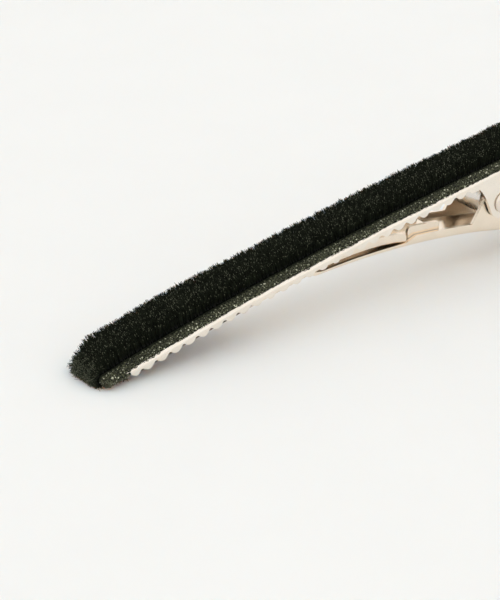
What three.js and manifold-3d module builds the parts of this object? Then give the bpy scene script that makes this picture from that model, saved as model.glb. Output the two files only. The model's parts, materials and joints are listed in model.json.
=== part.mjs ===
// Alligator hair clip with a velvet ribbon over its upper jaw.
// Millimetres, +Z up. X runs along the clip with the jaw tip at -X, Y runs across it.
// The side view is drawn with x = 0 at the front of the metal tip, and the whole
// group is moved at the end so that its origin is under the middle of its box.
import * as THREE from 'three';
import { mergeVertices } from 'three/addons/utils/BufferGeometryUtils.js';
import Module from 'manifold-3d';

const wasm = await Module();
wasm.setup();

// ---- Overall sizes -------------------------------------------------------------
const jawLength = 54.6; // metal tip to hinge centre
const leverLength = 22.0; // hinge centre to the end of the upper lever
const jawWidth = 6.8; // outside the upper jaw's flanges

// ---- Upper jaw: one stamping with jaw, ears and thumb lever ---------------------
const upperSheet = 0.45;
const upperInsideBend = 0.1; // inside radius of the bend between top and flange
const tipTopHeight = 1.0; // metal top face at the tip, above the table
const tipSlope = 0.275; // rise per length at the tip
const midSlope = 0.196; // rise per length half way along the jaw
const hingeSlope = 0.155; // rise per length over the hinge
const upperLeverSlope = 0.24; // rise per length of the straight thumb lever
const leverBendLength = 6.0; // the lever's bend behind the hinge
const tipCornerRadius = 1.2;
const flangeDepth = 1.25; // top face to tooth tips
const flangeStart = 2.3; // tip to the front of the flanges
const flangeNoseLength = 0.9;
const toothPitch = 1.8;
const toothHeight = 0.52;
const valleySharpness = 1.5; // above 1, the gaps are narrower than the teeth
const firstValley = 3.9; // tip to the first gap between teeth
const earRadius = 2.05; // lobe round the hinge
const earLobeAngle = 65; // half the angle of the lobe, either side of straight down
const earDip = 0.05; // the ear starts this much below the tooth tips
const earFrontReach = 3.9; // hinge centre forward to the ear's front edge, at the flange
const earFrontFlare = [2.67, 1.35]; // forward of and above the hinge centre, where the edge turns
const earBackReach = 4.6;
const earBackFlare = [2.8, 1.6]; // behind and above the hinge centre
const upperLeverFlange = 1.2; // flange depth just behind the ear
const upperLeverBare = 5.0; // flat end of the lever, with no flange

// ---- Hinge ---------------------------------------------------------------------
const hingeDepth = 4.28; // upper top face down to the hinge centre
const rivetRadius = 0.85;
const rivetBore = 0.6;
const rivetHeadRadius = 1.32;
const rivetHeadThickness = 0.32;
const rivetMouthFlare = 0.22; // the bore's rolled mouth, beyond the bore
const rivetRoll = 0.12; // rounding of the rolled head
const rivetFit = 0.06; // radial clearance in the upper ears
const headGap = 0.05; // rivet head to the upper ear

// ---- Lower lever: a stamping whose tongue lies under the jaw --------------------
const lowerSheet = 0.4;
const lowerInsideBend = 0.05;
const nestClearance = 0.25; // upper flange's inner face to lower flange's outer face
const sheetGap = 0.05; // between sheets that touch
const lowerDepth = 3.97; // hinge centre down to the underside
const tongueReach = 27.1; // hinge centre forward to the tongue's front end
const tongueSlope = 0.07; // rise per length at the tongue's front end
const tongueGap = 0.05; // tongue's front end to the jaw channel over it
const lowerLeverReach = 23.04; // hinge centre back to the lever's end
const lipLength = 4.7; // the turned-up end, whose lowest point rests on the table
const lipSlope = 0.125;
const tongueEdge = 0.55; // height of the tongue's edges, turned up a little behind its front end
const lowFlangeHeight = 1.15;
const lowFlangeReach = 13.85; // hinge centre forward to the flange's front
const lowFlangeChamfer = 1.4;
const lowerEarRadius = 2.35;
const lowerEarAngle = 78; // half the angle of the ear's round top
const lowerEarFoot = 4.2; // hinge centre to the foot of the ear, both ways
const lowerEndRadius = 1.6;
const lowerLeverBare = 6.0; // flat end of the lever, with no flange

// ---- Lower jaw: a channel whose tail is fixed in the lever ----------------------
const innerJawFront = 3.4; // front of the channel, behind the folded ribbon
const innerJawFrontRadius = 1.5;
const innerJawShoulder = 13.9; // hinge centre forward to the rounded shoulder
const innerJawTailReach = 8.55; // hinge centre forward to the end of the tail
const innerJawNoseRadius = 0.55;
const innerJawBelow = 0.48; // channel's underside below the upper jaw's tooth tips
const innerJawSplit = 27.0; // tip to where the jaws start to part
const innerJawSplay = 1.9; // how far they have parted at the shoulder
const innerWallStart = 20.4; // tip to the front of the walls; ahead of them it is a flat strip
const innerWallHeight = 1.2;
const innerTailWall = 1.75;
const innerTailCorner = 0.4;
const joggleLength = 3.6; // where the channel steps down on to the lever
const joggleLap = 0.9; // the step's end behind the shoulder
const tailOverlap = 1.0; // tail's floor run on into the front's floor
const shoulderSlot = 0.55; // slot between shoulder and tail wall

// ---- Leaf spring ---------------------------------------------------------------
const springSheet = 0.32;
const springSideGap = 0.45; // strip's edge to the lower channel's wall
const springLoopRadius = 2.4; // outside of the loop, round the hinge
const springReach = 12.5; // hinge centre to the ends of the arms
const springSeatGap = 0.08;
const springUpperBow = [5.5, 1.0]; // where the upper arm turns, behind and above the loop's top
const springLowerBow = [4.5, 0.3]; // where the lower arm turns, behind and below its bottom

// ---- Velvet ribbon -------------------------------------------------------------
const ribbonOverhang = 0.1; // past the jaw's side, each way
const ribbonGround = 0.35; // woven ground and selvedges
const selvedgeWidth = 1.1; // edge with no pile
const pileHeight = 1.45;
const tipFoldLength = 2.5; // ribbon turned under the tip
const leverFoldLength = 4.2; // ribbon turned under the lever's end
const glueThickness = 0.08;
const glueGap = 0.03;
const glueMargin = 0.5; // ribbon's edge to the glue's edge
const glueFoldMargin = 0.4; // the folds' ends to the glue's ends

// ---- Sizes worked out from those above -----------------------------------------
const hingeX = jawLength;
const upperEndX = hingeX + leverLength;
const upperBendRadius = upperSheet + upperInsideBend;
const lowerBendRadius = lowerSheet + lowerInsideBend;
const lowerWidth = jawWidth - 2 * (upperSheet + nestClearance);
const tailWidth = lowerWidth - 2 * (lowerSheet + sheetGap);
const springWidth = lowerWidth - 2 * (lowerSheet + springSideGap);
const tongueX = hingeX - tongueReach;
const shoulderX = hingeX - innerJawShoulder;
const tailEndX = hingeX - innerJawTailReach;
const lipX = hingeX + lowerLeverReach - lipLength;
const lowerEndX = hingeX + lowerLeverReach;
const innerJawDrop = flangeDepth + innerJawBelow;
const innerJawOpening = (2 * innerJawSplay) / (shoulderX - innerJawSplit) ** 2;
const ribbonWidth = jawWidth + 2 * ribbonOverhang;
const pileWidth = ribbonWidth - 2 * selvedgeWidth;
const ribbonOffset = glueThickness + 2 * glueGap;
const deepEnough = 14; // reaches past every flange and ear
const margin = 0.5; // cutting shapes and blanks run this far past what they shape
const sheetTrim = 1.02; // an outline just below a sheet leaves the sheet whole

// ---- Side-view lines -----------------------------------------------------------
// A height line whose slope passes through three values, a quadratic, so it is a cubic.
function slopeLine(x0, x1, slopes, anchorX, anchorZ) {
  const [a, m, b] = slopes;
  const span = x1 - x0;
  const linear = 4 * m - 3 * a - b;
  const square = 2 * (a + b - 2 * m);
  const slope = (x) => {
    const u = (x - x0) / span;
    return a + linear * u + square * u * u;
  };
  const raw = (x) => {
    const u = (x - x0) / span;
    return span * (a * u + (linear * u * u) / 2 + (square * u ** 3) / 3);
  };
  return { slope, height: (x) => anchorZ + raw(x) - raw(anchorX) };
}

// Straight on at slope `from`, then bending to slope `to` over `length`, then straight.
function bendOn(x, startX, startZ, from, to, length) {
  const run = Math.max(0, x - startX);
  const inBend = Math.min(run, length);
  const bendRise = from * inBend + ((to - from) * inBend * inBend) / (2 * length);
  const slope = from + ((to - from) * inBend) / length;
  return { z: startZ + bendRise + (run - inBend) * to, slope };
}

const jawLine = slopeLine(0, hingeX, [tipSlope, midSlope, hingeSlope], 0, tipTopHeight);

// The upper stamping's top face: height and slope at x.
function upperTop(x) {
  if (x <= hingeX) return { z: jawLine.height(x), slope: jawLine.slope(x) };
  return bendOn(x, hingeX, jawLine.height(hingeX), hingeSlope, upperLeverSlope, leverBendLength);
}

const hingeZ = upperTop(hingeX).z - hingeDepth;
const lowerHeight = hingeZ - lowerDepth; // underside over the table, below the hinge

// Slope of the lower lever, such that its lip's lowest point just reaches the table.
function slopeToTable() {
  const run = lipX - hingeX;
  const a = 2 * run + lipLength;
  const b = 2 * (run * lipSlope - lowerHeight);
  const c = -2 * lowerHeight * lipSlope;
  return (b - Math.sqrt(b * b - 4 * a * c)) / (2 * a);
}

const lowerLeverSlope = slopeToTable();

// Underside of the jaw channel where it is free: it follows the upper jaw, then eases away.
function freeUnder(x) {
  const top = upperTop(x);
  const run = Math.max(0, x - innerJawSplit);
  return {
    z: top.z - innerJawDrop - (innerJawOpening * run * run) / 2,
    slope: top.slope - innerJawOpening * run,
  };
}

// The tongue bows so that its front end comes up to its gap below the jaw channel.
const tongueRise = lowerHeight - (freeUnder(tongueX).z - tongueGap - lowerSheet);
const tongueMidSlope = (1.5 * tongueRise) / tongueReach - (tongueSlope + lowerLeverSlope) / 4;
const tongueSlopes = [tongueSlope, tongueMidSlope, lowerLeverSlope];
const leverLine = slopeLine(tongueX, hingeX, tongueSlopes, hingeX, lowerHeight);

// The lower stamping's underside: height and slope at x.
function lowerUnder(x) {
  if (x <= hingeX) return { z: leverLine.height(x), slope: leverLine.slope(x) };
  const straight = Math.min(x, lipX) - hingeX;
  const z = lowerHeight + straight * lowerLeverSlope;
  return bendOn(x, lipX, z, lowerLeverSlope, lipSlope, lipLength);
}

// Underside of the jaw channel, which steps down behind on to the lever's tongue.
function innerUnder(x) {
  const free = freeUnder(x);
  const floor = lowerUnder(x);
  const seated = { z: floor.z + lowerSheet + sheetGap, slope: floor.slope };
  if (x > tongueX && free.z < seated.z) return seated;
  const stepStart = shoulderX + joggleLap - joggleLength;
  const u = THREE.MathUtils.clamp((x - stepStart) / joggleLength, 0, 1);
  const ease = u * u * (3 - 2 * u);
  const easeSlope = (6 * u * (1 - u)) / joggleLength;
  return {
    z: THREE.MathUtils.lerp(free.z, seated.z, ease),
    slope: THREE.MathUtils.lerp(free.slope, seated.slope, ease) + (seated.z - free.z) * easeSlope,
  };
}

// The point that is `offset` above a line, measured square to it.
function above(line, x, offset) {
  const { z, slope } = line(x);
  const n = Math.hypot(1, slope);
  return new THREE.Vector2(x - (slope * offset) / n, z + offset / n);
}

function spread(from, to, count) {
  return Array.from({ length: count + 1 }, (_, i) => from + ((to - from) * i) / count);
}

function arc(cx, cz, r, fromDeg, toDeg, count) {
  return spread(fromDeg, toDeg, count).map((deg) => {
    const a = THREE.MathUtils.degToRad(deg);
    return new THREE.Vector2(cx + r * Math.cos(a), cz + r * Math.sin(a));
  });
}

// ---- Solids --------------------------------------------------------------------
function toManifold(geometry) {
  const bare = geometry.index ? geometry.toNonIndexed() : geometry.clone();
  bare.deleteAttribute('normal');
  bare.deleteAttribute('uv');
  const merged = mergeVertices(bare, 1e-5);
  return new wasm.Manifold(new wasm.Mesh({
    numProp: 3,
    vertProperties: new Float32Array(merged.attributes.position.array),
    triVerts: new Uint32Array(merged.index.array),
  }));
}

function toGeometry(solid) {
  const mesh = solid.getMesh();
  const geometry = new THREE.BufferGeometry();
  geometry.setAttribute('position', new THREE.BufferAttribute(mesh.vertProperties, 3));
  geometry.setIndex(new THREE.BufferAttribute(mesh.triVerts, 1));
  geometry.computeVertexNormals();
  return geometry;
}

// A side-view outline, extruded across the clip and centred on it.
function slab(points, width) {
  const geometry = new THREE.ExtrudeGeometry(new THREE.Shape(points), {
    depth: width, bevelEnabled: false, steps: 1,
  });
  geometry.rotateX(Math.PI / 2);
  geometry.translate(0, width / 2, 0);
  return toManifold(geometry);
}

// A plan-view outline, extruded upward through the whole clip.
function post(points) {
  const geometry = new THREE.ExtrudeGeometry(new THREE.Shape(points), {
    depth: 4 * deepEnough, bevelEnabled: false, steps: 1,
  });
  geometry.translate(0, 0, -deepEnough);
  return toManifold(geometry);
}

// A cylinder along Y through the hinge.
function hingePin(radius) {
  const geometry = new THREE.CylinderGeometry(radius, radius, jawWidth + 4, 32);
  geometry.translate(hingeX, 0, hingeZ);
  return toManifold(geometry);
}

class HeightCurve extends THREE.Curve {
  constructor(line, x0, x1) {
    super();
    Object.assign(this, { line, x0, x1 });
  }

  getPoint(t, target = new THREE.Vector3()) {
    const x = THREE.MathUtils.lerp(this.x0, this.x1, t);
    return target.set(x, 0, this.line(x).z);
  }
}

// A U section, as (across, down) points. flangeWay -1 hangs its flanges down, +1 stands them up.
function channelSection(width, sheet, bend, flangeWay) {
  const half = width / 2;
  const corner = (r, fromDeg, toDeg) => arc(half - bend, bend, r, fromDeg, toDeg, 4);
  const right = [
    ...corner(bend, -90, 0), new THREE.Vector2(half, deepEnough),
    new THREE.Vector2(half - sheet, deepEnough), ...corner(bend - sheet, 0, -90),
  ];
  const left = right.map((p) => new THREE.Vector2(-p.x, p.y)).reverse();
  return new THREE.Shape([...right, ...left].map((p) => new THREE.Vector2(p.x, -flangeWay * p.y)));
}

// A sheet-metal channel whose web follows a height line.
function channel(line, x0, x1, section) {
  return toManifold(new THREE.ExtrudeGeometry(section, {
    steps: Math.round((x1 - x0) / 2), bevelEnabled: false, extrudePath: new HeightCurve(line, x0, x1),
  }));
}

function roundedPlan(x0, x1, width, radius) {
  const h = width / 2;
  const corners = [
    [x1 - radius, -h + radius, -90], [x1 - radius, h - radius, 0],
    [x0 + radius, h - radius, 90], [x0 + radius, -h + radius, 180],
  ];
  return corners.flatMap(([cx, cy, deg]) => arc(cx, cy, radius, deg, deg + 90, 6));
}

// ---- Upper jaw -----------------------------------------------------------------
// The scalloped edge: depth below the top face swings between valleys and tooth tips.
function toothedEdge() {
  const room = hingeX - earFrontReach - toothPitch / 2 - firstValley;
  const toothCount = Math.floor(room / toothPitch) + 1;
  const from = flangeStart + flangeNoseLength;
  const to = firstValley + toothPitch * (toothCount - 0.5);
  return spread(from, to, (toothCount + 1) * 8).map((x) => {
    const phase = (2 * Math.PI * (x - firstValley)) / toothPitch;
    const depth = flangeDepth - toothHeight * ((1 + Math.cos(phase)) / 2) ** valleySharpness;
    return above(upperTop, x, -depth);
  });
}

// The ear below the flange line, a lobe that flares into the flange in front and behind.
function earEdge() {
  const lobe = arc(hingeX, hingeZ, earRadius, 270 - earLobeAngle, 270 + earLobeAngle, 14);
  const front = new THREE.QuadraticBezierCurve(
    above(upperTop, hingeX - earFrontReach, -flangeDepth - earDip),
    new THREE.Vector2(hingeX - earFrontFlare[0], hingeZ + earFrontFlare[1]),
    lobe[0],
  );
  const back = new THREE.QuadraticBezierCurve(
    lobe[lobe.length - 1],
    new THREE.Vector2(hingeX + earBackFlare[0], hingeZ + earBackFlare[1]),
    above(upperTop, hingeX + earBackReach, -upperLeverFlange),
  );
  return [...front.getPoints(6), ...lobe.slice(1), ...back.getPoints(6).slice(1)];
}

// Half a circle round the sheet's end at x, `offset` off its metal. Angles are from its normal.
function endRound(x, offset, fromDeg, toDeg) {
  const centre = above(upperTop, x, -upperSheet / 2);
  const normal = 90 + THREE.MathUtils.radToDeg(Math.atan(upperTop(x).slope));
  return arc(centre.x, centre.y, upperSheet / 2 + offset, normal + fromDeg, normal + toDeg, 10);
}

function upperOutline() {
  const bareX = upperEndX - upperLeverBare;
  const leverEdge = spread(hingeX + earBackReach, bareX, 4).slice(1).map((x, i) => (
    above(upperTop, x, -THREE.MathUtils.lerp(upperLeverFlange, upperSheet * sheetTrim, (i + 1) / 4))
  ));
  return [
    above(upperTop, 1, 1), ...endRound(0, 0, 0, 180),
    above(upperTop, flangeStart, -upperSheet * sheetTrim), ...toothedEdge(), ...earEdge(),
    ...leverEdge, ...endRound(upperEndX, 0, -180, 0), above(upperTop, upperEndX - 1, 1),
  ];
}

function makeUpperJaw() {
  const section = channelSection(jawWidth, upperSheet, upperBendRadius, -1);
  const plan = roundedPlan(-upperSheet / 2, upperEndX + upperSheet / 2, jawWidth + 0.2, tipCornerRadius);
  return channel(upperTop, -margin, upperEndX + margin, section)
    .intersect(slab(upperOutline(), 2 * jawWidth))
    .intersect(post(plan))
    .subtract(hingePin(rivetRadius + rivetFit));
}

// ---- Lower lever ---------------------------------------------------------------
function lowerOutline() {
  const flangeX = hingeX - lowFlangeReach;
  const bareX = lowerEndX - lowerLeverBare;
  const raised = (x, height) => above(lowerUnder, x, height);
  const below = [
    new THREE.Vector2(lowerEndX + 1, -2), new THREE.Vector2(tongueX - 1, -2),
  ];
  const tongue = spread(tongueX - 1, flangeX, 8).map((x, i) => (
    raised(x, THREE.MathUtils.lerp(lowerSheet * sheetTrim, tongueEdge, Math.min(1, i / 4)))
  ));
  const front = spread(flangeX + lowFlangeChamfer, hingeX - lowerEarFoot, 5)
    .map((x) => raised(x, lowFlangeHeight));
  const ear = arc(hingeX, hingeZ, lowerEarRadius, 90 + lowerEarAngle, 90 - lowerEarAngle, 14);
  const behind = spread(hingeX + lowerEarFoot, bareX, 4).map((x, i) => (
    raised(x, THREE.MathUtils.lerp(lowFlangeHeight, lowerSheet * sheetTrim, i / 4))
  ));
  const end = spread(bareX + 1, lowerEndX + 1, 6).map((x) => raised(x, lowerSheet + margin));
  return [...below, ...tongue, ...front, ...ear, ...behind, ...end];
}

function makeLowerLever() {
  const section = channelSection(lowerWidth, lowerSheet, lowerBendRadius, 1);
  return channel(lowerUnder, tongueX - margin, lowerEndX + margin, section)
    .intersect(slab(lowerOutline(), 2 * jawWidth))
    .intersect(post(roundedPlan(tongueX, lowerEndX, lowerWidth + 0.1, lowerEndRadius)))
    .subtract(hingePin(rivetRadius + sheetGap));
}

// ---- Lower jaw channel ---------------------------------------------------------
// Top of the channel's walls, kept clear of the upper jaw.
function innerWallTop(x) {
  const ceiling = above(upperTop, x, -(upperSheet + 2 * sheetGap));
  const wall = above(innerUnder, x, innerWallHeight);
  return wall.y < ceiling.y ? wall : ceiling;
}

// The front length, up to its rounded shoulder.
function innerFrontOutline() {
  const r = innerJawNoseRadius;
  const floor = innerUnder(shoulderX).z;
  const under = spread(shoulderX - 1, innerJawFront - margin, 14)
    .map((x) => above(innerUnder, x, -margin));
  const strip = spread(innerJawFront - margin, innerWallStart, 8)
    .map((x) => above(innerUnder, x, lowerSheet / sheetTrim));
  const wall = spread(innerWallStart + r, shoulderX - r, 14).map(innerWallTop);
  const corner = arc(innerWallStart + r, wall[0].y - r, r, 180, 90, 5);
  const nose = arc(shoulderX - r, wall[wall.length - 1].y - r, r, 90, 0, 5);
  return [
    new THREE.Vector2(shoulderX, floor - margin),
    ...under, ...strip, ...corner, ...wall.slice(1), ...nose.slice(1),
  ];
}

// The tail's floor, run on into the front length, and its taller walls behind the slot.
function innerTailOutline() {
  const r = innerJawNoseRadius;
  const wallX = shoulderX + shoulderSlot;
  const lapX = shoulderX - tailOverlap;
  const frontTop = innerUnder(wallX).z + innerTailWall;
  const backTop = innerUnder(tailEndX).z + innerTailWall;
  return [
    new THREE.Vector2(tailEndX + margin, innerUnder(tailEndX).z - 1),
    new THREE.Vector2(lapX, innerUnder(lapX).z - 1),
    above(innerUnder, lapX, lowerSheet / sheetTrim), above(innerUnder, wallX, lowerSheet),
    ...arc(wallX + r, frontTop - r, r, 180, 90, 4), ...arc(tailEndX - r, backTop - r, r, 90, 0, 4),
    new THREE.Vector2(tailEndX, backTop - 2 * r),
  ];
}

function makeLowerJaw() {
  const wide = channelSection(lowerWidth, lowerSheet, lowerBendRadius, 1);
  const narrow = channelSection(tailWidth, lowerSheet, lowerBendRadius, 1);
  const frontPlan = roundedPlan(
    innerJawFront, shoulderX + 2 * innerJawFrontRadius, lowerWidth + 0.1, innerJawFrontRadius,
  );
  const tailPlan = roundedPlan(
    shoulderX - 4 * tailOverlap, tailEndX, tailWidth + 0.1, innerTailCorner,
  );
  const front = channel(innerUnder, innerJawFront - margin, shoulderX + margin, wide)
    .intersect(slab(innerFrontOutline(), 2 * jawWidth))
    .intersect(post(frontPlan));
  const tail = channel(innerUnder, shoulderX - 1.2 * tailOverlap, tailEndX + margin, narrow)
    .intersect(slab(innerTailOutline(), 2 * jawWidth))
    .intersect(post(tailPlan));
  return front.add(tail);
}

// ---- Leaf spring ---------------------------------------------------------------
// One face of the strip: upper arm, loop round the front of the hinge, lower arm.
function springFace(inset) {
  const r = springLoopRadius - inset;
  const endX = hingeX + springReach;
  const upperArm = new THREE.QuadraticBezierCurve(
    above(upperTop, endX, -upperSheet - springSeatGap - inset),
    new THREE.Vector2(hingeX + springUpperBow[0], hingeZ + r + springUpperBow[1]),
    new THREE.Vector2(hingeX, hingeZ + r),
  );
  const lowerArm = new THREE.QuadraticBezierCurve(
    new THREE.Vector2(hingeX, hingeZ - r),
    new THREE.Vector2(hingeX + springLowerBow[0], hingeZ - r - springLowerBow[1]),
    above(lowerUnder, endX, lowerSheet + springSeatGap + inset),
  );
  const loop = arc(hingeX, hingeZ, r, 90, 270, 16).slice(1, -1);
  return [...upperArm.getPoints(8), ...loop, ...lowerArm.getPoints(8)];
}

function makeSpring() {
  return slab([...springFace(0), ...springFace(springSheet).reverse()], springWidth);
}

// ---- Hinge rivet ---------------------------------------------------------------
function makeRivet() {
  const face = jawWidth / 2 + headGap;
  const out = face + rivetHeadThickness;
  const side = [
    [rivetRadius, face], [rivetHeadRadius, face], [rivetHeadRadius, out - 1.7 * rivetRoll],
    [rivetHeadRadius - rivetRoll, out - rivetRoll / 2], [rivetHeadRadius - 2.5 * rivetRoll, out],
    [rivetBore + rivetMouthFlare, out - rivetRoll / 4], [rivetBore + rivetRoll / 2, out - rivetRoll],
    [rivetBore, face - rivetRoll],
  ].map(([r, y]) => new THREE.Vector2(r, y));
  const other = side.map((p) => new THREE.Vector2(p.x, -p.y)).reverse();
  const geometry = new THREE.LatheGeometry([...side, ...other, side[0].clone()], 36);
  geometry.translate(hingeX, 0, hingeZ);
  return toManifold(geometry);
}

// ---- Ribbon and its glue -------------------------------------------------------
// The side-view line that wraps the upper stamping at an offset from its metal.
function wrapLine(offset, underTip, underLever) {
  const below = -upperSheet - offset;
  return [
    ...spread(underTip, 0.3, 4).map((x) => above(upperTop, x, below)),
    ...endRound(0, offset, 180, 0),
    ...spread(1, upperEndX - 0.6, 42).map((x) => above(upperTop, x, offset)),
    ...endRound(upperEndX, offset, 0, -180),
    ...spread(upperEndX - 0.4, upperEndX - underLever, 5).map((x) => above(upperTop, x, below)),
  ];
}

function layer(low, high, width, underTip, underLever) {
  const outline = [
    ...wrapLine(low, underTip, underLever), ...wrapLine(high, underTip, underLever).reverse(),
  ];
  return slab(outline, width);
}

function makeGlue() {
  return layer(glueGap, glueGap + glueThickness, ribbonWidth - 2 * glueMargin,
    tipFoldLength - glueFoldMargin, leverFoldLength - glueFoldMargin);
}

// Everything below the table under the tip, where the pile is pressed flat.
function tableCut() {
  const reach = 3 * tipFoldLength;
  return slab([
    new THREE.Vector2(-reach, -reach), new THREE.Vector2(reach, -reach),
    new THREE.Vector2(reach, 0), new THREE.Vector2(-reach, 0),
  ], 2 * jawWidth);
}

function makeRibbon() {
  const groundTop = ribbonOffset + ribbonGround;
  const ground = layer(ribbonOffset, groundTop, ribbonWidth, tipFoldLength, leverFoldLength);
  const pile = layer(ribbonOffset + ribbonGround / 2, groundTop + pileHeight, pileWidth,
    tipFoldLength, leverFoldLength);
  return ground.add(pile).subtract(tableCut());
}

// ---- Assembly ------------------------------------------------------------------
const nickel = 0xd9d2c7;
const springSteel = 0xc9c4bb;
const rivetMetal = 0xd6cfc2;
const glueColour = 0xd8d2b8;
const velvet = 0x1a2418;
const clip = new THREE.Group();

function addPart(name, solid, color, roughness, metalness) {
  const material = new THREE.MeshStandardMaterial({ color, roughness, metalness });
  const mesh = new THREE.Mesh(toGeometry(solid), material);
  mesh.name = name;
  clip.add(mesh);
}

addPart('upper_jaw', makeUpperJaw(), nickel, 0.25, 1);
addPart('lower_lever', makeLowerLever(), nickel, 0.25, 1);
addPart('lower_jaw', makeLowerJaw(), nickel, 0.25, 1);
addPart('leaf_spring', makeSpring(), springSteel, 0.3, 1);
addPart('hinge_rivet', makeRivet(), rivetMetal, 0.25, 1);
addPart('glue_film', makeGlue(), glueColour, 0.5, 0);
addPart('velvet_ribbon', makeRibbon(), velvet, 0.95, 0);

const box = new THREE.Box3().setFromObject(clip);
clip.position.x = -(box.min.x + box.max.x) / 2;
clip.position.z = -box.min.z;

export default clip;
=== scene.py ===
"""Looks of the velvet-ribboned alligator hair clip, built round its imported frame. Metres, +Z up."""
import json
import math

import bmesh
import bpy
import numpy as np
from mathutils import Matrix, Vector


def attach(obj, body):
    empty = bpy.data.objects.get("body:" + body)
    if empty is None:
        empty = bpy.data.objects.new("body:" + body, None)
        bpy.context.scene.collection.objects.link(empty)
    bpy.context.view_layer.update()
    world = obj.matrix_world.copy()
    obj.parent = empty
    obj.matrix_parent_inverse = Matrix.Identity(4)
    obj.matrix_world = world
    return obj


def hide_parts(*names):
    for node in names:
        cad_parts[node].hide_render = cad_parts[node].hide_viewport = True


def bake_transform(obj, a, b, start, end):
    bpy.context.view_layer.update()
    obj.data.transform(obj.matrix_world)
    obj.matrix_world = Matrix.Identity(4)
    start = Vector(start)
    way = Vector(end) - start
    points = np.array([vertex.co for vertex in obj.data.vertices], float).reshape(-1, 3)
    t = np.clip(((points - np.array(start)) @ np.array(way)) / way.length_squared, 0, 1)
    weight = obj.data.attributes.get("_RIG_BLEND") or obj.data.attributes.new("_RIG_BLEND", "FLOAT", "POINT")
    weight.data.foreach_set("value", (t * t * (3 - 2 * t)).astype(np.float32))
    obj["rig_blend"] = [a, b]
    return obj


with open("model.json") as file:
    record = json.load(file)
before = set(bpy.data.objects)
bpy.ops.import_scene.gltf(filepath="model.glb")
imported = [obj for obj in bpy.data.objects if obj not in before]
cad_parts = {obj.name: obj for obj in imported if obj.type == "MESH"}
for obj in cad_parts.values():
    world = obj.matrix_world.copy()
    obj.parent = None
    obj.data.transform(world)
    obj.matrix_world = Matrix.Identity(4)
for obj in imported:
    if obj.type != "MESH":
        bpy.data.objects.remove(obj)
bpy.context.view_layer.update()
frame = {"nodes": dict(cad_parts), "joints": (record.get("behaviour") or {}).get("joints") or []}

MM = 0.001
RNG = np.random.default_rng(7)

# ---- Side-view lines, repeated from the part, in metres from the jaw's metal tip ----
HINGE = Vector(frame["joints"][0]["pos_m"])
JAW_LENGTH = 54.6 * MM
LEVER_LENGTH = 22.0 * MM
TIP_X = HINGE.x - JAW_LENGTH
TIP_TOP = 1.0 * MM
JAW_SLOPES = (0.275, 0.196, 0.155)
LEVER_SLOPE = 0.24
LEVER_BEND = 6.0 * MM
SHEET = 0.45 * MM

# ---- Ribbon ----
RIBBON_HALF = 3.5 * MM
PILE_HALF = 2.4 * MM
UNDERSIDE = 0.14 * MM  # ribbon's lower face over the metal
GROUND = 0.35 * MM
PILE = 1.45 * MM
TIP_FOLD = 2.5 * MM
LEVER_FOLD = 4.2 * MM
CROWN = 0.12 * MM  # the glue bead lifts the ribbon's middle
DRAPE_START = 2.85 * MM  # from here the edge hangs over the jaw's rounded side
DRAPE = 0.2 * MM
DRAPE_LIMIT = 1.3  # the yarn loops past the edge drop no further than this share of the way out
FOLD_DRAPE = 0.42 * MM  # further drape where the two layers meet at a fold
FOLD_SPREAD = 0.16 * MM
FOLD_REACH = (6.4 * MM, 7.8 * MM)  # ribbon lengths over which the fold's effect fades
TABLE_GAP = 0.03 * MM  # the ribbon lies on the table and never goes through it

# ---- Metal ----
PAINTED_SHADE_BROWN = (0.15, 0.105, 0.075)  # painted shade: brown colour on the inside of the front of the jaws, for the shade within the closed jaws
PAINTED_SHADE_REACH = (TIP_X + 17.5 * MM, TIP_X + 19.5 * MM)  # here it fades into the plating
PAINTED_SHADE_HALF_JAW = 2.98 * MM  # just inside the upper jaw's flanges
PAINTED_SHADE_HALF_CHANNEL = 3.4 * MM  # the lower jaw's whole width
WELD_DISTANCE = 0.002 * MM
FLAT_WITHIN = 0.6  # degrees between facets that are taken as one face
SPRING_LOOP = 2.4 * MM  # outside of the leaf spring's loop, round the hinge


def top_slope(x):
    """Slope of the metal's top face at x from the tip."""
    a, m, b = JAW_SLOPES
    u = np.clip(x / JAW_LENGTH, 0, 1)
    jaw = a + (4 * m - 3 * a - b) * u + 2 * (a + b - 2 * m) * u * u
    bend = np.clip((x - JAW_LENGTH) / LEVER_BEND, 0, 1)
    return np.where(x <= JAW_LENGTH, jaw, b + (LEVER_SLOPE - b) * bend)


def top_height(x):
    """Height of the metal's top face at x from the tip."""
    a, m, b = JAW_SLOPES
    u = np.clip(x / JAW_LENGTH, 0, 1)
    rise = a * u + (4 * m - 3 * a - b) * u * u / 2 + 2 * (a + b - 2 * m) * u ** 3 / 3
    run = np.maximum(0, x - JAW_LENGTH)
    bend = np.minimum(run, LEVER_BEND)
    past = b * bend + (LEVER_SLOPE - b) * bend * bend / (2 * LEVER_BEND)
    return TIP_TOP + JAW_LENGTH * rise + past + (run - bend) * LEVER_SLOPE


def stations(count_top=900, count_round=40, count_fold=60):
    """The line the ribbon wraps: points on the sheet's middle with their normals, as (x, z, nx, nz)."""
    end = JAW_LENGTH + LEVER_LENGTH
    tip = np.linspace(TIP_FOLD, 0, count_fold, endpoint=False)
    top = np.linspace(0, end, count_top)
    lever = np.linspace(end, end - LEVER_FOLD, count_fold + 1)[1:]
    turn = np.linspace(math.pi, 0, count_round + 1)[1:-1]
    xs = np.concatenate([tip, np.zeros(len(turn)), top, np.full(len(turn), end), lever])
    angle = np.concatenate([
        np.full(len(tip), math.pi), turn,
        np.zeros(len(top)),
        turn[::-1] * -1, np.full(len(lever), -math.pi),
    ])
    slope = top_slope(xs)
    unit = np.hypot(1, slope)
    nx, nz = -slope / unit, 1 / unit
    x = TIP_X + xs - nx * SHEET / 2
    z = top_height(xs) - nz * SHEET / 2
    c, s = np.cos(angle), np.sin(angle)
    return np.stack([x, z, nx * c - nz * s, nx * s + nz * c], 1)


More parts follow.
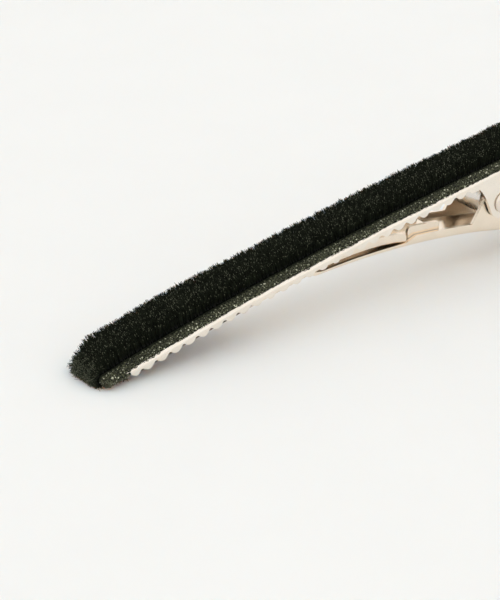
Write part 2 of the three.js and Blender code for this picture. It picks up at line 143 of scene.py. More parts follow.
LINE = stations()
REACH = SHEET / 2 + UNDERSIDE + GROUND  # ribbon lengths are measured along the top of its ground
OUTER = LINE[:, :2] + LINE[:, 2:] * REACH
ALONG = np.concatenate([[0], np.cumsum(np.hypot(*np.diff(OUTER, axis=0).T))])
RIBBON_LENGTH = ALONG[-1]


def on_line(s):
    """Sheet middle and normal at ribbon length s, each (n, 2) in x and z."""
    row = np.stack([np.interp(s, ALONG, LINE[:, k]) for k in range(4)], -1)
    normal = row[..., 2:] / np.linalg.norm(row[..., 2:], axis=-1, keepdims=True)
    return row[..., :2], normal


def fade(value, low, high):
    """0 below low, 1 above high, smooth between."""
    t = np.clip((value - low) / (high - low), 0, 1)
    return t * t * (3 - 2 * t)


def on_ribbon(s, y, height):
    """Point at ribbon length s, across y, and height over the ribbon's lower face."""
    mid, normal = on_line(s)
    from_end = np.minimum(s, RIBBON_LENGTH - s)
    free = fade(from_end, *FOLD_REACH)
    edge = np.clip((np.abs(y) - DRAPE_START) / (RIBBON_HALF - DRAPE_START), 0, DRAPE_LIMIT)
    drop = edge ** 2 * (DRAPE + FOLD_DRAPE * (1 - free))
    rise = CROWN * free * np.clip(1 - (y / DRAPE_START) ** 2, 0, 1)
    across = y + np.sign(y) * FOLD_SPREAD * edge * (1 - free)
    flat = mid + normal * np.expand_dims(SHEET / 2 + UNDERSIDE + height + rise - drop, -1)
    return np.stack([flat[..., 0], np.broadcast_to(across, flat.shape[:-1]), flat[..., 1]], -1)


def ripple(s, y, cell):
    """Smooth random field from -1 to 1 over the ribbon, with bumps about two cells apart."""
    u, v = s / cell, (y + 2 * RIBBON_HALF) / cell
    table = RNG.uniform(-1, 1, (int(RIBBON_LENGTH / cell) + 3, int(4 * RIBBON_HALF / cell) + 3))
    i, j = u.astype(int), v.astype(int)
    a, b = fade(u - i, 0, 1), fade(v - j, 0, 1)
    low = table[i, j] * (1 - a) + table[i + 1, j] * a
    high = table[i, j + 1] * (1 - a) + table[i + 1, j + 1] * a
    return low * (1 - b) + high * b


# ---- Mesh helpers ----
def raw_mesh(name, verts, faces, smooth=True):
    """An object from an (n, 3) array of points and an (m, k) array of k-sided faces."""
    mesh = bpy.data.meshes.new(name)
    count, sides = faces.shape
    mesh.vertices.add(len(verts))
    mesh.vertices.foreach_set("co", np.asarray(verts, np.float32).ravel())
    mesh.loops.add(count * sides)
    mesh.loops.foreach_set("vertex_index", faces.astype(np.int32).ravel())
    mesh.polygons.add(count)
    mesh.polygons.foreach_set("loop_start", np.arange(0, count * sides, sides, dtype=np.int32))
    mesh.update(calc_edges=True)
    mesh.validate()
    mesh.polygons.foreach_set("use_smooth", np.full(len(mesh.polygons), smooth))
    obj = bpy.data.objects.new(name, mesh)
    bpy.context.scene.collection.objects.link(obj)
    return obj


def attribute(obj, name, values):
    """A number for each of the object's points, which its material can read."""
    layer = obj.data.attributes.new(name, "FLOAT", "POINT")
    layer.data.foreach_set("value", np.asarray(values, np.float32).ravel())


def tubes(name, paths, radii, sides, tones):
    """Closed tubes along (n, rings, 3) paths with (n, rings) radii and tones, in one mesh."""
    n, rings, _ = paths.shape
    tangent = np.gradient(paths, axis=1)
    tangent /= np.linalg.norm(tangent, axis=2, keepdims=True) + 1e-12
    helper = np.where(np.abs(tangent[..., 1:2]) > 0.9, [[[1.0, 0, 0]]], [[[0, 1.0, 0]]])
    u = np.cross(tangent, helper)
    u /= np.linalg.norm(u, axis=2, keepdims=True) + 1e-12
    v = np.cross(tangent, u)
    turn = np.linspace(0, 2 * math.pi, sides, endpoint=False)
    cos_turn, sin_turn = np.cos(turn)[None, None, :, None], np.sin(turn)[None, None, :, None]
    ring = u[:, :, None] * cos_turn + v[:, :, None] * sin_turn
    verts = paths[:, :, None] + ring * radii[:, :, None, None]
    verts[..., 2] = np.maximum(verts[..., 2], 0)
    i, k = np.meshgrid(np.arange(rings - 1), np.arange(sides), indexing="ij")
    a, b = i * sides + k, i * sides + (k + 1) % sides
    side_faces = np.stack([a, b, b + sides, a + sides], -1).reshape(-1, 4)
    tris = np.concatenate([side_faces[:, [0, 1, 2]], side_faces[:, [0, 2, 3]]])
    fan = np.arange(1, sides - 1)
    bottom = np.stack([np.zeros_like(fan), fan + 1, fan], 1)
    top = np.stack([np.zeros_like(fan), fan, fan + 1], 1) + (rings - 1) * sides
    one = np.concatenate([tris, bottom, top])
    faces = (one[None] + (np.arange(n) * rings * sides)[:, None, None]).reshape(-1, 3)
    obj = raw_mesh(name, verts.reshape(-1, 3), faces)
    attribute(obj, "tone", np.repeat(tones, sides))
    return obj


# ---- Material helpers ----
def new_material(name):
    """A node material with its tree and its Principled shader."""
    mat = bpy.data.materials.new(name)
    mat.use_nodes = True
    nodes, links = mat.node_tree.nodes, mat.node_tree.links
    return mat, nodes, links, nodes["Principled BSDF"]


def mapped_noise(nodes, links, scale, detail, stretch=(1, 1, 1)):
    """Noise over object space, longer along an axis whose stretch is below one."""
    coord = nodes.new("ShaderNodeTexCoord")
    mapping = nodes.new("ShaderNodeMapping")
    mapping.inputs["Scale"].default_value = stretch
    noise = nodes.new("ShaderNodeTexNoise")
    noise.inputs["Scale"].default_value = scale
    noise.inputs["Detail"].default_value = detail
    links.new(coord.outputs["Object"], mapping.inputs["Vector"])
    links.new(mapping.outputs["Vector"], noise.inputs["Vector"])
    return noise


def ramp(nodes, links, source, stops):
    """A colour ramp from (position, colour) stops, fed by a float socket."""
    node = nodes.new("ShaderNodeValToRGB")
    elements = node.color_ramp.elements
    while len(elements) < len(stops):
        elements.new(0.5)
    for element, (position, colour) in zip(elements, stops):
        element.position = position
        element.color = (*colour, 1)
    links.new(source, node.inputs["Fac"])
    return node


def bump(nodes, links, source, shader, distance, strength):
    """Relief on the shader from a float socket."""
    node = nodes.new("ShaderNodeBump")
    node.inputs["Distance"].default_value = distance
    node.inputs["Strength"].default_value = strength
    links.new(source, node.inputs["Height"])
    links.new(node.outputs["Normal"], shader.inputs["Normal"])


def map_range(nodes, links, source, before, after):
    """A float socket carried from one range to another, and held at its ends."""
    node = nodes.new("ShaderNodeMapRange")
    node.inputs["From Min"].default_value = before[0]
    node.inputs["From Max"].default_value = before[1]
    node.inputs["To Min"].default_value = after[0]
    node.inputs["To Max"].default_value = after[1]
    links.new(source, node.inputs["Value"])
    return node


MIX_COLOUR_A, MIX_COLOUR_B, MIX_COLOUR_OUT = 6, 7, 2  # colour sockets of a Mix node


def painted_jaw_shade(nodes, links, plated, shader, half):
    """Painted shade: brown colour within `half` of the middle, in the closed front of the jaws, for the
    shade inside them.
    """
    coord = nodes.new("ShaderNodeTexCoord")
    place = nodes.new("ShaderNodeSeparateXYZ")
    links.new(coord.outputs["Object"], place.inputs["Vector"])
    front = map_range(nodes, links, place.outputs["X"], PAINTED_SHADE_REACH, (1, 0))
    across = nodes.new("ShaderNodeMath")
    across.operation = "ABSOLUTE"
    links.new(place.outputs["Y"], across.inputs[0])
    inside = nodes.new("ShaderNodeMath")
    inside.operation = "LESS_THAN"
    links.new(across.outputs[0], inside.inputs[0])
    inside.inputs[1].default_value = half
    both = nodes.new("ShaderNodeMath")
    both.operation = "MULTIPLY"
    links.new(front.outputs["Result"], both.inputs[0])
    links.new(inside.outputs[0], both.inputs[1])
    mix = nodes.new("ShaderNodeMix")
    mix.data_type = "RGBA"
    links.new(both.outputs[0], mix.inputs["Factor"])
    links.new(plated, mix.inputs[MIX_COLOUR_A])
    mix.inputs[MIX_COLOUR_B].default_value = (*PAINTED_SHADE_BROWN, 1)
    links.new(mix.outputs[MIX_COLOUR_OUT], shader.inputs["Base Color"])


NOISE_SPAN = (0.3, 0.7)  # nearly all of a noise texture's values
MOTTLE_SCALE = 420
POLISH_SCALE, POLISH_STRETCH = 900, (0.15, 1, 1)
ROLLING_SCALE, ROLLING_STRETCH = 5000, (0.04, 1, 1)
ROLLING_DEPTH = 0.004 * MM


def plated_metal(name, light, dark, rough_low, rough_high, shade_half=None):
    """Nickel plate over stamped sheet: soft mirror with faint rolling lines and a mottled polish."""
    mat, nodes, links, shader = new_material(name)
    shader.inputs["Metallic"].default_value = 1
    mottle = mapped_noise(nodes, links, MOTTLE_SCALE, 4)
    stops = [(NOISE_SPAN[0], dark), (NOISE_SPAN[1], light)]
    colour = ramp(nodes, links, mottle.outputs["Fac"], stops)
    # brown painted shade inside the closed front of the jaws
    if shade_half:
        painted_jaw_shade(nodes, links, colour.outputs["Color"], shader, shade_half)
    else:
        links.new(colour.outputs["Color"], shader.inputs["Base Color"])
    polish = mapped_noise(nodes, links, POLISH_SCALE, 3, POLISH_STRETCH)
    spread = map_range(nodes, links, polish.outputs["Fac"], NOISE_SPAN, (rough_low, rough_high))
    links.new(spread.outputs["Result"], shader.inputs["Roughness"])
    lines = mapped_noise(nodes, links, ROLLING_SCALE, 2, ROLLING_STRETCH)
    bump(nodes, links, lines.outputs["Fac"], shader, ROLLING_DEPTH, 0.5)
    return mat


TONE_TOP = 0.92  # highest tone of a filament that doesn't glint
TONE_LIGHT = 0.93  # tones up to here run from dark to light
TONE_PAINTED_GLINT = 0.95  # tones from here on are flecks: a pale colour that is painted glint


def fibre_material(name, dark, light, fleck, rough, gloss, sheen):
    """Pile and yarn filaments: tone picks each one's shade, and a few get a pale colour as painted glint."""
    mat, nodes, links, shader = new_material(name)
    tone = nodes.new("ShaderNodeAttribute")
    tone.attribute_name = "tone"
    stops = [(0.0, dark), (TONE_LIGHT, light), (TONE_PAINTED_GLINT, fleck), (1.0, fleck)]
    colour = ramp(nodes, links, tone.outputs["Fac"], stops)
    links.new(colour.outputs["Color"], shader.inputs["Base Color"])
    shader.inputs["Roughness"].default_value = rough
    shader.inputs["Sheen Weight"].default_value = sheen
    shader.inputs["Sheen Roughness"].default_value = 0.4
    shader.inputs["Specular IOR Level"].default_value = gloss
    return mat


def cloth_material(name, dark, light, scale):
    """Plain woven ground seen between the pile's roots and under the folds, and the near-black painted shade
    of the pile's dense body.
    """
    mat, nodes, links, shader = new_material(name)
    weave = mapped_noise(nodes, links, scale, 3)
    colour = ramp(nodes, links, weave.outputs["Fac"], [(0.35, dark), (0.65, light)])
    links.new(colour.outputs["Color"], shader.inputs["Base Color"])
    shader.inputs["Roughness"].default_value = 0.85
    shader.inputs["Specular IOR Level"].default_value = 0.05
    bump(nodes, links, weave.outputs["Fac"], shader, 0.05 * MM, 0.8)
    return mat


def glue_material():
    """Clear yellowish hot-melt film with a wavy face."""
    mat, nodes, links, shader = new_material("glue")
    waves = mapped_noise(nodes, links, 700, 2)
    stops = [(NOISE_SPAN[0], (0.62, 0.57, 0.42)), (NOISE_SPAN[1], (0.75, 0.71, 0.58))]
    colour = ramp(nodes, links, waves.outputs["Fac"], stops)
    links.new(colour.outputs["Color"], shader.inputs["Base Color"])
    shader.inputs["Roughness"].default_value = 0.25
    bump(nodes, links, waves.outputs["Fac"], shader, 0.03 * MM, 0.6)
    return mat


# the upper jaw and the channel carry brown painted shade inside the closed front of the jaws
NICKEL = plated_metal(
    "nickel_plate", (0.92, 0.85, 0.76), (0.86, 0.79, 0.70), 0.16, 0.27, PAINTED_SHADE_HALF_JAW,
)
NICKEL_CHANNEL = plated_metal(
    "nickel_plate_channel", (0.92, 0.81, 0.68), (0.86, 0.75, 0.62), 0.16, 0.27, PAINTED_SHADE_HALF_CHANNEL,
)
NICKEL_LOW = plated_metal("nickel_plate_lower", (0.92, 0.81, 0.68), (0.86, 0.75, 0.62), 0.16, 0.27)
STEEL = plated_metal("spring_steel", (0.78, 0.74, 0.69), (0.66, 0.62, 0.57), 0.22, 0.34)
RIVET = plated_metal("rivet_metal", (0.88, 0.80, 0.71), (0.80, 0.72, 0.63), 0.14, 0.24)
# the third colour of each fibre material is a painted glint
PILE_FIBRE = fibre_material(
    "velvet_pile", (0.0012, 0.0018, 0.0008), (0.030, 0.037, 0.021), (0.19, 0.20, 0.14),
    rough=0.6, gloss=0.06, sheen=0.03,
)
YARN = fibre_material(
    "selvedge_yarn", (0.004, 0.005, 0.002), (0.100, 0.105, 0.058), (0.62, 0.62, 0.47),
    rough=0.5, gloss=0.2, sheen=0.1,
)
GROUND_CLOTH = cloth_material("woven_ground", (0.008, 0.010, 0.006), (0.030, 0.034, 0.022), 4000)
# near-black painted shade for the pile's dense body
PILE_SHADE_FILL = cloth_material("pile_undercoat", (0.002, 0.003, 0.002), (0.006, 0.008, 0.005), 6000)
GLUE = glue_material()


# ---- Metal pieces, from the frame's own solids ----
def refined(node, name, bevel, angle, material, body):
    """The CAD node as a clean mesh, rounded and sharp only where its faces turn by `angle` degrees."""
    mesh = frame["nodes"][node].data.copy()
    mesh.materials.clear()
    edit = bmesh.new()
    edit.from_mesh(mesh)
    bmesh.ops.remove_doubles(edit, verts=edit.verts, dist=WELD_DISTANCE)
    bmesh.ops.dissolve_limit(
        edit, angle_limit=math.radians(FLAT_WITHIN), verts=edit.verts, edges=edit.edges,
    )
    bmesh.ops.recalc_face_normals(edit, faces=edit.faces)
    edit.to_mesh(mesh)
    edit.free()
    for layer in [a.name for a in mesh.attributes if a.name == "custom_normal"]:
        mesh.attributes.remove(mesh.attributes[layer])
    mesh.polygons.foreach_set("use_smooth", np.ones(len(mesh.polygons), bool))
    mesh.set_sharp_from_angle(angle=math.radians(angle))
    mesh.materials.append(material)
    obj = bpy.data.objects.new(name, mesh)
    bpy.context.scene.collection.objects.link(obj)
    round_off = obj.modifiers.new("edge_round", "BEVEL")
    round_off.width = bevel
    round_off.segments = 2
    round_off.limit_method = "ANGLE"
    round_off.angle_limit = math.radians(angle)
    round_off.harden_normals = True
    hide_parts(node)
    if body:
        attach(obj, body)
    return obj


refined("upper_jaw", "jaw_stamping", 0.06 * MM, 35, NICKEL, "upper")
refined("lower_lever", "lever_stamping", 0.05 * MM, 35, NICKEL_LOW, "lower")
refined("lower_jaw", "jaw_channel", 0.05 * MM, 35, NICKEL_CHANNEL, "lower")
refined("hinge_rivet", "rolled_rivet", 0.03 * MM, 50, RIVET, "lower")
spring = refined("leaf_spring", "sprung_strip", 0.03 * MM, 40, STEEL, None)
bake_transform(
    spring, "upper", "lower",
    start=(HINGE.x, 0, HINGE.z + SPRING_LOOP), end=(HINGE.x, 0, HINGE.z - SPRING_LOOP),
)
refined("glue_film", "glue_line", 0.01 * MM, 40, GLUE, "upper")


# ---- Ribbon: woven core ----
BAND_COLUMNS = 13
CORE_HALF = RIBBON_HALF - 0.12 * MM
CORE_LOW, CORE_HIGH = 0.06 * MM, 0.24 * MM
CORE_ROWS = 500


def band(name, half, low, high, s, material, crown=0.0, jitter=0.0, lean=0.0):
    """A closed band along ribbon lengths s, from `low` to `high` over the ribbon's lower face."""
    across = np.linspace(-1, 1, BAND_COLUMNS)
    grid_s, grid_y = np.meshgrid(s, across, indexing="ij")
    lift = np.reshape(high, (-1, 1)) - crown * grid_y ** 4 + RNG.normal(0, jitter, grid_s.shape)
    top = on_ribbon(grid_s, grid_y * half + lean, lift)
    top[..., 2] = np.maximum(top[..., 2], TABLE_GAP)
    bottom = on_ribbon(grid_s, grid_y * half, np.full(grid_s.shape, low))
    rows, cols = grid_s.shape
    loop = np.concatenate([top, bottom[:, ::-1]], 1)
    width = loop.shape[1]
    i, k = np.meshgrid(np.arange(rows - 1), np.arange(width), indexing="ij")
    a, b = i * width + k, i * width + (k + 1) % width
    sides = np.stack([a, a + width, b + width, b], -1).reshape(-1, 4)
    c = np.arange(cols - 1)
    cap = np.stack([c, c + 1, width - 2 - c, width - 1 - c], 1)
    far = cap[:, ::-1] + (rows - 1) * width
    obj = raw_mesh(name, loop.reshape(-1, 3), np.concatenate([sides, cap, far]))
    obj.data.materials.append(material)
    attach(obj, "upper")
    return obj


core = band(
    "ribbon_ground", CORE_HALF, CORE_LOW, CORE_HIGH, np.linspace(0, RIBBON_LENGTH, CORE_ROWS), GROUND_CLOTH,
)
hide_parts("velvet_ribbon")


# ---- Ribbon: selvedges, real warp and weft ----
PICK = 0.38 * MM
WARP_GAP = 0.21 * MM
WARPS = 5
WARP_RADIUS = 0.078 * MM
WARP_STEPS = 4  # rings to each pick
WARP_INNER = RIBBON_HALF - 0.16 * MM - (WARPS - 1) * WARP_GAP
WEFT_RADIUS = 0.075 * MM
WEFT_REACH = (WARP_INNER - 0.2 * MM, RIBBON_HALF - 0.12 * MM)
WEFT_STEPS = 11  # rings across the selvedge
TURN_STEPS = 5  # rings round the turn at its edge
YARN_LIFT = 0.095 * MM
YARN_MID = GROUND / 2 + 0.02 * MM
YARN_SIDES = 6
YARN_WANDER = 0.012 * MM
YARN_THICKNESS = (0.8, 1.15)
LOOP_OUT = 0.14 * MM  # the weft's turns stand out past the last warp
LOOP_DROP = 0.04 * MM
WEFT_SHIFT, WEFT_SPREAD, WEFT_LEAN = 0.02 * MM, 0.02, 0.025 * MM
WEFT_THICKNESS = 0.08
# share of yarn rings painted pale as glints
PAINTED_GLINT_SHARE = 0.14
END_MARGIN = 0.02 * MM


def segment_tones(count, rings, glint_share):
    """Shade of each ring of each yarn, changing along every stitch, with some painted pale as glints."""
    base = RNG.uniform(0, TONE_TOP, (count, rings))
    pale = RNG.uniform(0, 1, base.shape) < glint_share
    base[pale] = 1.0
    return base


def warp_yarns(side):
    """Paths, radii and tones of the yarns that run along one edge, over and under each pick."""
    rings = int(RIBBON_LENGTH / PICK * WARP_STEPS)
    s = np.linspace(END_MARGIN, RIBBON_LENGTH - END_MARGIN, rings)
    paths, radii = [], []
    for warp in range(WARPS):
        y = WARP_INNER + warp * WARP_GAP + RNG.normal(0, YARN_WANDER, rings)
        wave = YARN_LIFT * np.cos(math.pi * (s / PICK + warp))
        paths.append(on_ribbon(s, side * y, YARN_MID + wave + RNG.normal(0, YARN_WANDER, rings)))
        radii.append(WARP_RADIUS * RNG.uniform(*YARN_THICKNESS, rings))
    return np.array(paths), np.array(radii), segment_tones(WARPS, rings, PAINTED_GLINT_SHARE)


def weft_yarns(side):
    """Paths, radii and tones of the pairs of picks, each with its turn round the edge."""
    pairs = int(RIBBON_LENGTH / PICK / 2) - 1
    across = np.linspace(*WEFT_REACH, WEFT_STEPS)
    turn = np.linspace(-0.5 * math.pi, 0.5 * math.pi, TURN_STEPS + 2)[1:-1]
    there, back = np.zeros(WEFT_STEPS), np.ones(WEFT_STEPS)
    y_base = np.concatenate([across, across[-1] + LOOP_OUT * np.cos(turn), across[::-1]])
    s_base = np.concatenate([there, (np.sin(turn) + 1) / 2, back]) * PICK
    parity = np.concatenate([there, np.linspace(0, 1, TURN_STEPS + 2)[1:-1], back])
    in_turn = np.concatenate([there, np.cos(turn), there])
    paths, radii = [], []
    for pair in range(pairs):
        first = (2 * pair + 1) * PICK + RNG.normal(0, WEFT_SHIFT)
        reach = 1 + RNG.normal(0, WEFT_SPREAD)
        y = y_base * reach + RNG.normal(0, YARN_WANDER, len(y_base))
        lean = RNG.normal(0, WEFT_LEAN) * (y - WARP_INNER) / (WARPS * WARP_GAP)
        over = -YARN_LIFT * np.cos(math.pi * ((y_base - WARP_INNER) / WARP_GAP + parity + 1))
        height = YARN_MID + over * (1 - in_turn) - LOOP_DROP * in_turn
        s = np.clip(first + s_base + lean, 0, RIBBON_LENGTH)
        paths.append(on_ribbon(s, side * y, height))
        thickness = WEFT_RADIUS * RNG.uniform(*YARN_THICKNESS)
        radii.append(thickness * (1 + RNG.normal(0, WEFT_THICKNESS, len(y_base))))
    return np.array(paths), np.array(radii), segment_tones(pairs, len(y_base), PAINTED_GLINT_SHARE)


def selvedge(side):
    """One woven edge of the ribbon: side is -1 for the near one and 1 for the far one."""
    label = "near" if side < 0 else "far"
    for kind, yarns in (("warp", warp_yarns), ("weft", weft_yarns)):
        paths, radii, tones = yarns(side)
        obj = tubes(f"selvedge_{kind}_{label}", paths, radii, YARN_SIDES, tones)
        obj.data.materials.append(YARN)
        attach(obj, "upper")


selvedge(-1)
selvedge(1)

# ---- Ribbon: pile ----
TUFT_ALONG = 0.24 * MM
TUFT_ACROSS = 0.24 * MM
TUFT_WANDER = (0.05 * MM, 0.04 * MM)
FIBRES_PER_TUFT = 12
FIBRE_RADIUS = 0.025 * MM
FIBRE_SIDES = 3
FIBRE_THICKNESS = (0.75, 1.25)
FIBRE_ROOT = GROUND - 0.08 * MM
FIBRE_VARIES = 0.06
FIBRE_STRAY = 0.022 * MM
TUFT_FOOT, TUFT_OPEN = 0.07, 0.17  # mm that a tuft reaches at its roots, and more at its tips
RIPPLE_CELL = 0.34 * MM
RIPPLE_HEIGHT, RIPPLE_LEAN, RIPPLE_SHADE = 0.075 * MM, 0.06, 0.12
NAP = (-0.10, 0.22)  # lean of the pile along and across, towards the far side
NAP_VARIES = 0.05
LEAN_CURVE = 1.4
TIP_SWELL = 0.32 * MM  # the pile stands taller behind the front fold
SWELL_START = (4 * MM, 7 * MM)
SWELL_REACH = (16 * MM, 28 * MM)
TIP_TURN = 3.5 * MM  # ribbon length at the front of the fold
TURN_REACH = (0.9 * MM, 3.2 * MM)
TURN_PRESS = 0.42  # share of the pile's height lost where the fold rests on the table
FAR_EDGE = (1.6 * MM, 0.8 * MM)  # start and width of the last tufts on the far side
# the second number is painted sheen: far-edge tufts made paler where the pile's rim catches light
FAR_LEAN, FAR_PAINTED_SHEEN = 0.12, 0.15
NEAR_EDGE = (1.4 * MM, 1.0 * MM)
NEAR_LEAN, NEAR_SHIFT, NEAR_SHORT = 0.45, 0.28 * MM, 0.5
FAN_MIDDLE = TIP_TURN - 0.3 * MM  # the fold opens the pile so its fibres show side-on; their paler tone there is painted light, as if the front light falls on them
FAN_REACH = (0.8 * MM, 2.4 * MM)
# painted light and extra painted glints round the front fold
FOLD_PAINTED_LIGHT, FOLD_PAINTED_GLINTS = 0.5, 0.42
# share of pile fibres whose tips are painted pale as glints
PAINTED_GLINT_FIBRES = 0.06
FIBRE_SHARES = (0.0, 0.5, 0.85, 1.0)  # the four points on each fibre, from root to tip
FIBRE_TAPER = np.array([1.0, 1.0, 0.95, 0.75])
# painted shade: each fibre darker towards its root, where the pile shades it
FIBRE_ROOT_SHADE = np.array([0.4, 0.8, 1.0, 1.0])
# tone of the ring below a painted glint
TONE_PALE = 0.9
PRESS_AWAY = (-0.6, 0.35)  # travel of a pressed fibre, along and across, for each unit it is raised
PRESS_SCATTER = 0.35
PRESS_LAYERS = 0.05 * MM
PILE_PIECES = 10

UNDERCOAT_SHARE = 0.62  # the dense body of the pile, as a share of its height; its near-black colour is painted shade between the fibres
UNDERCOAT_ROWS = 700
UNDERCOAT_END = 0.3 * MM
UNDERCOAT_HALF = PILE_HALF - 0.35 * MM
UNDERCOAT_LOW = GROUND - 0.1 * MM
UNDERCOAT_CROWN, UNDERCOAT_ROUGH, UNDERCOAT_LEAN = 0.25 * MM, 0.04 * MM, 0.22 * MM


def pile_height(s):
    """Height of the pile over the ground at ribbon length s."""
    swell = TIP_SWELL * (1 - fade(s, *SWELL_REACH)) * fade(s, *SWELL_START)
    turn = 1 - fade(np.abs(s - TIP_TURN), *TURN_REACH)
    return PILE * (1 - TURN_PRESS * turn) + swell


# a solid band for the packed lower pile, coloured near black as painted shade
undercoat_s = np.linspace(UNDERCOAT_END, RIBBON_LENGTH - UNDERCOAT_END, UNDERCOAT_ROWS)
band(
    "pile_undercoat", UNDERCOAT_HALF, UNDERCOAT_LOW,
    GROUND + UNDERCOAT_SHARE * pile_height(undercoat_s), undercoat_s, PILE_SHADE_FILL,
    crown=UNDERCOAT_CROWN, jitter=UNDERCOAT_ROUGH, lean=UNDERCOAT_LEAN,
)


def tufts():
    """Roots of the tufts as ribbon length and distance across, in staggered rows."""
    rows = int((RIBBON_LENGTH - 0.2 * MM) / TUFT_ALONG)
    cols = int(2 * PILE_HALF / TUFT_ACROSS)
    s, y = np.meshgrid(np.arange(rows) + 0.5, np.arange(cols) + 0.5, indexing="ij")
    s = (s + 0.5 * (np.arange(cols) % 2)[None, :]) * TUFT_ALONG
    y = y * TUFT_ACROSS - PILE_HALF + (2 * PILE_HALF - cols * TUFT_ACROSS) / 2
    s = s + RNG.normal(0, TUFT_WANDER[0], s.shape)
    y = y + RNG.normal(0, TUFT_WANDER[1], y.shape)
    return s.ravel(), y.ravel()


def pile_fibres():
    """Four points on every pile fibre from root to tip, with its radii and tones."""
    tuft_s, tuft_y = tufts()
    n = len(tuft_s) * FIBRES_PER_TUFT

    def per_fibre(values):
        return np.repeat(values, FIBRES_PER_TUFT)

    def tuft_lean(nap):
        wander = RNG.normal(0, NAP_VARIES, len(tuft_s))
        return nap + per_fibre(wander + RIPPLE_LEAN * ripple(tuft_s, tuft_y, RIPPLE_CELL))

    s_tuft, y_tuft = per_fibre(tuft_s), per_fibre(tuft_y)
    turn = RNG.uniform(0, 2 * math.pi, n)
    out = np.sqrt(RNG.uniform(0, 1, n))
    ds, dy = out * np.cos(turn), out * np.sin(turn)
    lean_s = tuft_lean(NAP[0])
    lean_y = tuft_lean(NAP[1])
    far_edge = np.clip((y_tuft - FAR_EDGE[0]) / FAR_EDGE[1], 0, 1)
    near_edge = np.clip((-y_tuft - NEAR_EDGE[0]) / NEAR_EDGE[1], 0, 1)
    lean_y = lean_y + far_edge * FAR_LEAN - near_edge * NEAR_LEAN
    y_tuft = y_tuft + near_edge * NEAR_SHIFT
    bumps = per_fibre(RIPPLE_HEIGHT * ripple(tuft_s, tuft_y, RIPPLE_CELL))
    length = pile_height(s_tuft) + bumps + RNG.normal(0.0, FIBRE_VARIES, n) * MM
    length = length * (1 - NEAR_SHORT * near_edge * RNG.uniform(0, 1, n))
    rings = []
    for share in FIBRE_SHARES:
        stray = FIBRE_STRAY * share
        open_to = (TUFT_FOOT + TUFT_OPEN * share) * MM
        s = s_tuft + ds * open_to + lean_s * length * share + RNG.normal(0, 1, n) * stray
        y = y_tuft + dy * open_to + lean_y * length * share ** LEAN_CURVE
        y = y + RNG.normal(0, 1, n) * stray
        s = np.clip(s, 0.01 * MM, RIBBON_LENGTH - 0.01 * MM)
        rings.append(on_ribbon(s, y, FIBRE_ROOT + length * share))
    paths = np.stack(rings, 1)
    radii = FIBRE_RADIUS * RNG.uniform(*FIBRE_THICKNESS, (n, 1)) * FIBRE_TAPER
    shade = per_fibre(RIPPLE_SHADE * ripple(tuft_s, tuft_y, RIPPLE_CELL))
    # painted light round the front fold
    fan = 1 - fade(np.abs(s_tuft - FAN_MIDDLE), *FAN_REACH)
    base = RNG.beta(1.2, 3.0, n) + shade + FOLD_PAINTED_LIGHT * fan + FAR_PAINTED_SHEEN * far_edge
    # roots darkened by painted shade
    tones = np.clip(base, 0, TONE_TOP)[:, None] * FIBRE_ROOT_SHADE
    # painted glints on the tips of a few fibres
    pale = RNG.uniform(0, 1, n) < PAINTED_GLINT_FIBRES + FOLD_PAINTED_GLINTS * fan
    tones[pale, 2] = TONE_PALE
    tones[pale, 3] = 1.0
    return paths, radii, tones


def press_flat(paths):
    """Fibres that would go through the table lie over on it, spread away from the fold."""
    root = paths[:, 0]
    for index in (1, 2, 3):
        point, share = paths[:, index], FIBRE_SHARES[index]
        sunk = np.maximum(0, TABLE_GAP - point[:, 2])
        along = np.full(len(root), PRESS_AWAY[0])
        away = np.stack([along, np.sign(root[:, 1]) * PRESS_AWAY[1], np.zeros(len(root))], 1)
        away += RNG.normal(0, PRESS_SCATTER, away.shape) * [1, 1, 0]
        point += away * (sunk * share)[:, None]
        point[:, 2] = np.maximum(point[:, 2], TABLE_GAP + RNG.uniform(0, PRESS_LAYERS, len(point)))
    return paths


paths, radii, tones = pile_fibres()
paths = press_flat(paths)
order = np.array_split(np.arange(len(paths)), PILE_PIECES)
for index, chosen in enumerate(order):
    piece = tubes(f"velvet_pile_{index + 1}", paths[chosen], radii[chosen], FIBRE_SIDES, tones[chosen])
    piece.data.materials.append(PILE_FIBRE)
    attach(piece, "upper")


# ---- Table, light and camera ----
TABLE_HALF = 1.2
PAPER = ((0.815, 0.815, 0.80), (0.825, 0.825, 0.81))
PAPER_GLOW = 0.85  # the paper carries light into the shadow and warms its edge
SKY_COLOUR, SKY_STRENGTH = (1, 1, 0.99), 1.07
CAMERA_PLACE = (TIP_X - 0.125454, -0.202328, 0.12569)
CAMERA_AZIMUTH, CAMERA_ELEVATION = -35.85, 26.1
CAMERA_LENS, CAMERA_SENSOR = 150.6, 36


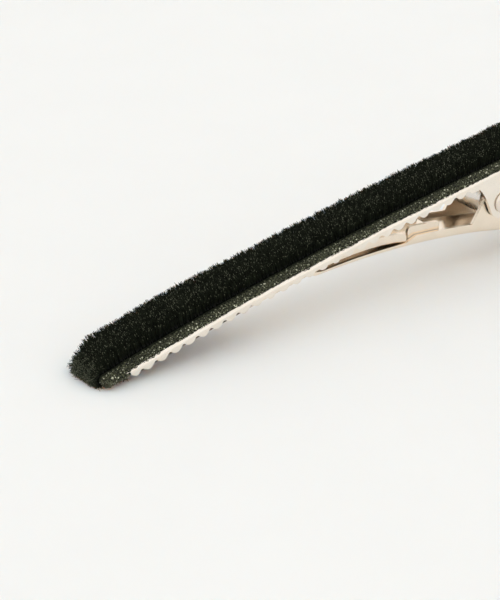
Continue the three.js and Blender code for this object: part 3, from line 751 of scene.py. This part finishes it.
def table_top():
    """The pale paper-covered table that the clip lies on."""
    corners = [(-1, -1, 0), (1, -1, 0), (1, 1, 0), (-1, 1, 0)]
    obj = raw_mesh("table_top", np.array(corners) * TABLE_HALF, np.array([[0, 1, 2, 3]]), False)
    mat, nodes, links, shader = new_material("table_paper")
    grain = mapped_noise(nodes, links, 60, 3)
    stops = [(NOISE_SPAN[0], PAPER[0]), (NOISE_SPAN[1], PAPER[1])]
    colour = ramp(nodes, links, grain.outputs["Fac"], stops)
    links.new(colour.outputs["Color"], shader.inputs["Base Color"])
    shader.inputs["Roughness"].default_value = 0.9
    shader.inputs["Specular IOR Level"].default_value = 0.1
    shader.subsurface_method = "BURLEY"
    shader.inputs["Subsurface Weight"].default_value = PAPER_GLOW
    shader.inputs["Subsurface Radius"].default_value = (1.0, 0.5, 0.25)
    shader.inputs["Subsurface Scale"].default_value = 4 * MM
    obj.data.materials.append(mat)


def area_light(name, location, target, size, power):
    """A round soft light that faces its target."""
    data = bpy.data.lights.new(name, "AREA")
    data.shape = "DISK"
    data.size = size
    data.energy = power
    obj = bpy.data.objects.new(name, data)
    bpy.context.scene.collection.objects.link(obj)
    obj.location = location
    obj.rotation_mode = "QUATERNION"
    obj.rotation_quaternion = (Vector(target) - Vector(location)).to_track_quat("-Z", "Y")


def sky():
    """Even white light from all round."""
    world = bpy.data.worlds.new("studio")
    world.use_nodes = True
    background = world.node_tree.nodes["Background"]
    background.inputs["Color"].default_value = (*SKY_COLOUR, 1)
    background.inputs["Strength"].default_value = SKY_STRENGTH
    bpy.context.scene.world = world


def camera():
    """A long lens low over the clip's front left, with the lever end running out of frame."""
    azimuth, elevation = math.radians(CAMERA_AZIMUTH), math.radians(CAMERA_ELEVATION)
    flat = math.cos(elevation)
    back = Vector((math.sin(azimuth) * flat, -math.cos(azimuth) * flat, math.sin(elevation)))
    data = bpy.data.cameras.new("camera")
    data.lens = CAMERA_LENS
    data.sensor_width = CAMERA_SENSOR
    data.clip_start, data.clip_end = 0.01, 10
    obj = bpy.data.objects.new("camera", data)
    bpy.context.scene.collection.objects.link(obj)
    obj.location = CAMERA_PLACE
    obj.rotation_mode = "QUATERNION"
    obj.rotation_quaternion = (-back).to_track_quat("-Z", "Y")
    bpy.context.scene.camera = obj


table_top()
sky()
area_light("overhead", (-0.03, -0.10, 0.55), (0, 0, 0), size=0.45, power=0.25)
camera()
bpy.context.scene.view_settings.view_transform = "Standard"
